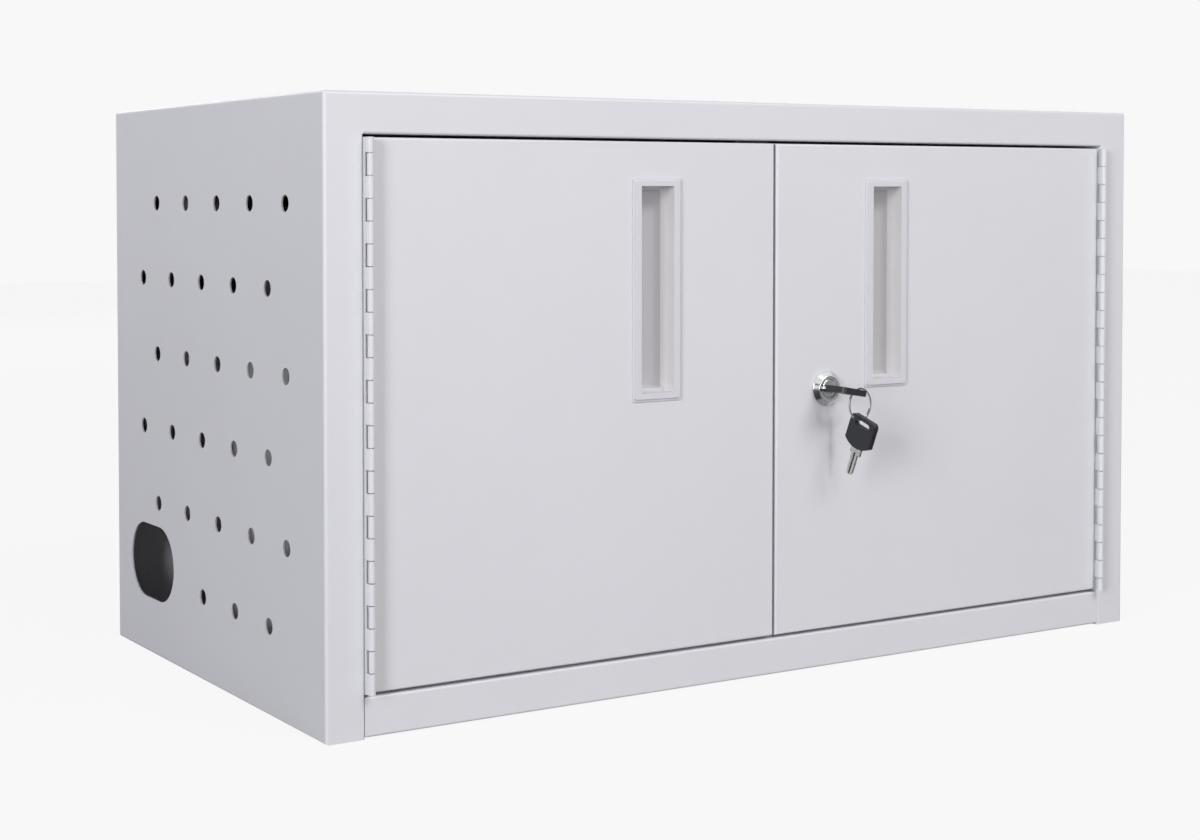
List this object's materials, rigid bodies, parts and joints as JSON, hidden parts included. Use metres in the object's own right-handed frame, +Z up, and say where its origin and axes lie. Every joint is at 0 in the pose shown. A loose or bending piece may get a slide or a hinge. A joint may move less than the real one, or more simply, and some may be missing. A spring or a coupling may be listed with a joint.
{
  "type": "tablet charging box",
  "caption": "Folded sheet-steel charging box for tablets, with lockable double doors, recessed pulls, side vents and cable openings, an upright divider rack and a rear power compartment.",
  "frame": {"origin": "middle of the base, on the underside of the bottom sheet", "axes": "+Z up, doors and key towards -Y, +X to the right of someone who faces the doors"},
  "size_m": [0.64, 0.3641, 0.3665],
  "materials": {
    "case_paint": "light grey powder coat, satin",
    "pull_paint": "light grey, satin, smooth moulded surface",
    "zinc_plate": "bright zinc-plated steel",
    "hinge_pin_steel": "plain steel",
    "lock_chrome": "polished chrome plate",
    "key_plastic": "black moulded plastic, satin",
    "black_rubber": "matte black rubber",
    "strip_black": "black moulded plastic, matte",
    "strip_metal": "light grey painted aluminium",
    "switch_red": "dark red moulded plastic",
    "button_white": "off-white moulded plastic",
    "bus_copper": "bare copper alloy strip"
  },
  "bodies": {
    "case": {"outer_wrap": "case_paint", "bottom_rail": "case_paint", "back_panel": "case_paint", "door_stop": "case_paint", "door_bumpers": "black_rubber", "left_hinge_frame_leaf": "case_paint", "left_hinge_pin": "hinge_pin_steel", "right_hinge_frame_leaf": "case_paint", "right_hinge_pin": "hinge_pin_steel", "rack_tray": "case_paint", "tablet_dividers": "case_paint", "partition_panel": "case_paint", "partition_brackets": "case_paint", "partition_screws": "zinc_plate", "cable_slot_grommets": "black_rubber", "strip_housing": "strip_metal", "strip_end_cap_left": "strip_black", "strip_end_cap_right": "strip_black", "strip_outlets": "strip_black", "bus_bars": "bus_copper", "mains_inlet": "strip_black", "inlet_pins": "lock_chrome", "rocker_bezel": "strip_black", "breaker_collar": "strip_black", "strip_brackets": "zinc_plate", "strip_nuts": "zinc_plate"},
    "left_door_leaf": {"left_door": "case_paint", "left_pull": "pull_paint", "left_hinge_door_leaf": "case_paint", "slide_bolt_guides": "zinc_plate"},
    "right_door_leaf": {"right_door": "case_paint", "right_pull": "pull_paint", "right_hinge_door_leaf": "case_paint", "lock_body": "lock_chrome", "lock_nut": "zinc_plate", "latch_rod_guides": "case_paint"},
    "lock_core": {"lock_plug": "lock_chrome", "lock_cam": "zinc_plate", "cam_screw": "zinc_plate"},
    "inserted_key": {"key_blade": "zinc_plate", "key_bow": "key_plastic"},
    "ring": {"key_ring": "lock_chrome"},
    "spare_key": {"spare_key_blade": "zinc_plate", "spare_key_bow": "key_plastic"},
    "upper_rod": {"upper_latch_rod": "zinc_plate"},
    "lower_rod": {"lower_latch_rod": "zinc_plate"},
    "upper_bolt": {"upper_slide_bolt": "zinc_plate"},
    "lower_bolt": {"lower_slide_bolt": "zinc_plate"},
    "rocker": {"rocker_switch": "switch_red"},
    "breaker": {"breaker_button": "button_white"}
  },
  "joints": [
    {"name": "left_door_swing", "type": "hinge", "parent": "case", "child": "left_door_leaf", "pos_m": [-0.2928, -0.1671, 0.1825], "axis": [0, 0, -1], "range_deg": [0, 175]},
    {"name": "right_door_swing", "type": "hinge", "parent": "case", "child": "right_door_leaf", "pos_m": [0.2928, -0.1671, 0.1825], "axis": [0, 0, 1], "range_deg": [0, 175]},
    {"name": "lock_turn", "type": "hinge", "parent": "right_door_leaf", "child": "lock_core", "pos_m": [0.042, -0.1625, 0.1825], "axis": [0, -1, 0], "range_deg": [0, 90]},
    {"name": "upper_rod_slide", "type": "slide", "parent": "right_door_leaf", "child": "upper_rod", "axis": [0, 0, 1], "range_m": [0, 0.01556]},
    {"name": "lower_rod_slide", "type": "slide", "parent": "right_door_leaf", "child": "lower_rod", "axis": [0, 0, -1], "range_m": [0, 0.01556]},
    {"name": "key_pull", "type": "slide", "parent": "lock_core", "child": "inserted_key", "axis": [0, -1, 0], "range_m": [0, 0.02]},
    {"name": "ring_turn", "type": "hinge", "parent": "inserted_key", "child": "ring", "pos_m": [0.049, -0.1874, 0.1739], "axis": [-0.1392, 0.9903, 0], "continuous": true},
    {"name": "spare_key_swing", "type": "hinge", "parent": "inserted_key", "child": "spare_key", "pos_m": [0.049, -0.1874, 0.16375], "axis": [0.9945, 0.1045, 0], "range_deg": [-25, 15]},
    {"name": "upper_bolt_slide", "type": "slide", "parent": "left_door_leaf", "child": "upper_bolt", "axis": [0, 0, 1], "range_m": [0, 0.012]},
    {"name": "lower_bolt_slide", "type": "slide", "parent": "left_door_leaf", "child": "lower_bolt", "axis": [0, 0, -1], "range_m": [0, 0.012]},
    {"name": "rocker_tip", "type": "hinge", "parent": "case", "child": "rocker", "pos_m": [0.211, 0.124, 0.172], "axis": [1, 0, 0], "range_deg": [0, 24]},
    {"name": "breaker_press", "type": "slide", "parent": "case", "child": "breaker", "axis": [0, 1, 0], "range_m": [0, 0.003], "stiffness_N_per_m": 300}
  ],
  "couplings": [
    {"joint": "upper_rod_slide", "follows": "lock_turn", "m_per_rad": 0.009903},
    {"joint": "lower_rod_slide", "follows": "lock_turn", "m_per_rad": 0.009903}
  ]
}
